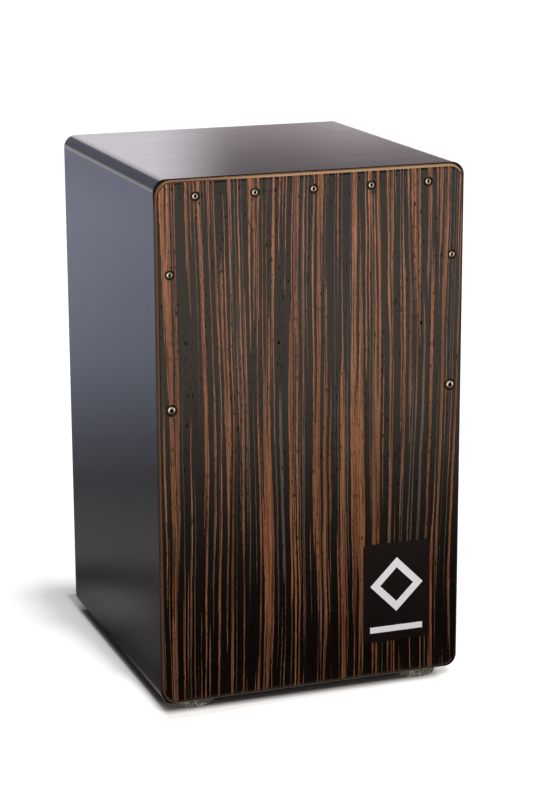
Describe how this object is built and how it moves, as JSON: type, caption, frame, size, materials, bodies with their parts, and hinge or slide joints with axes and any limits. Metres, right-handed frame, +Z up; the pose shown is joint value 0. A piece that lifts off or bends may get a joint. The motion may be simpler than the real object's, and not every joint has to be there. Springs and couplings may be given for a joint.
{
  "type": "cajon",
  "caption": "Box drum of dark plywood with a striped veneer front plate, rear sound hole, granulate feet and a pivoting bar of snare coils inside.",
  "frame": {"origin": "on the floor, at the centre of the bounding box", "axes": "+Z up, -Y towards the front plate that is struck, +X to the right seen from the front"},
  "size_m": [0.3, 0.3086, 0.502],
  "materials": {
    "body_lacquer": "dark stained plywood under satin lacquer outside, bare birch inside",
    "back_lacquer": "dark stained plywood under satin lacquer, bare birch inside",
    "batten_wood": "bare planed softwood",
    "plate_ply": "sanded birch plywood edge, oiled",
    "plate_veneer": "dark striped veneer, satin oiled",
    "screw_nickel": "nickel plated",
    "cup_black": "black oxide",
    "label_black": "satin black film",
    "label_print": "matt white print",
    "foot_granulate": "pressed rubber granulate, speckled",
    "bar_wood": "bare planed beech",
    "pin_steel": "turned",
    "holder_plastic": "moulded",
    "screw_zinc": "zinc plated",
    "fan_plate_brass": "stamped",
    "coil_steel": "bright drawn wire"
  },
  "bodies": {
    "cabinet": {"seat_panel": "body_lacquer", "bottom_panel": "body_lacquer", "left_side_panel": "body_lacquer", "right_side_panel": "body_lacquer", "back_panel": "back_lacquer", "front_plate_core": "plate_ply", "front_plate_veneer": "plate_veneer", "small_plate_screws": "screw_nickel", "large_plate_screws": "screw_nickel", "small_cup_washers": "cup_black", "large_cup_washers": "cup_black", "label": "label_black", "label_mark": "label_print", "pivot_holder_screws": "screw_zinc", "top_left_corner_batten": "batten_wood", "top_right_corner_batten": "batten_wood", "bottom_left_corner_batten": "batten_wood", "bottom_right_corner_batten": "batten_wood", "front_top_rail": "batten_wood", "front_bottom_rail": "batten_wood", "front_left_rail": "batten_wood", "front_right_rail": "batten_wood", "front_left_foot": "foot_granulate", "front_right_foot": "foot_granulate", "back_top_rail": "batten_wood", "back_bottom_rail": "batten_wood", "back_left_rail": "batten_wood", "back_right_rail": "batten_wood", "back_left_foot": "foot_granulate", "back_right_foot": "foot_granulate", "left_pivot_holder": "holder_plastic", "right_pivot_holder": "holder_plastic"},
    "snare_unit": {"snare_bar": "bar_wood", "snare_plate_screws": "screw_zinc", "left_pivot_pin": "pin_steel", "left_snare_base_plate": "fan_plate_brass", "left_snare_tip_plate": "fan_plate_brass", "left_snare_coils": "coil_steel", "right_pivot_pin": "pin_steel", "right_snare_base_plate": "fan_plate_brass", "right_snare_tip_plate": "fan_plate_brass", "right_snare_coils": "coil_steel"}
  },
  "joints": [
    {"name": "snare_swing", "type": "hinge", "parent": "cabinet", "child": "snare_unit", "pos_m": [0, -0.1367, 0.338], "axis": [-1, 0, 0], "range_deg": [0, 30]}
  ]
}
